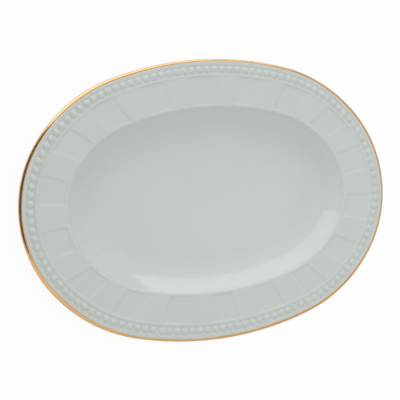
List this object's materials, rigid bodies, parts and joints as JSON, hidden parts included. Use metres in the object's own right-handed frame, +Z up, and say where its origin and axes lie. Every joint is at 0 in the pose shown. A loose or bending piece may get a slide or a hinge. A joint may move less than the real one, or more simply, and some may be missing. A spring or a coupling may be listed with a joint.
{
  "type": "serving platter",
  "caption": "Oval china serving platter with a sunk well, a flat rim with a beaded border and raised and sunk panels, a foot ring and a gilt edge.",
  "frame": {"origin": "middle of the platter in plan, on the surface that the foot ring stands on", "axes": "+X along the platter's length, +Y across its width, +Z up through the open well"},
  "size_m": [0.35, 0.248, 0.0264],
  "materials": {
    "glazed_china": "clear glossy glaze over a white body",
    "unglazed_china": "smooth unglazed tread",
    "fired_gold": "burnished gold, worn at the edge"
  },
  "bodies": {
    "root": {"well": "glazed_china", "rim": "glazed_china", "raised_panels": "glazed_china", "bead_border": "glazed_china", "bead_fillet": "glazed_china", "foot_ring": "unglazed_china", "gilt_band": "fired_gold"}
  },
  "joints": []
}
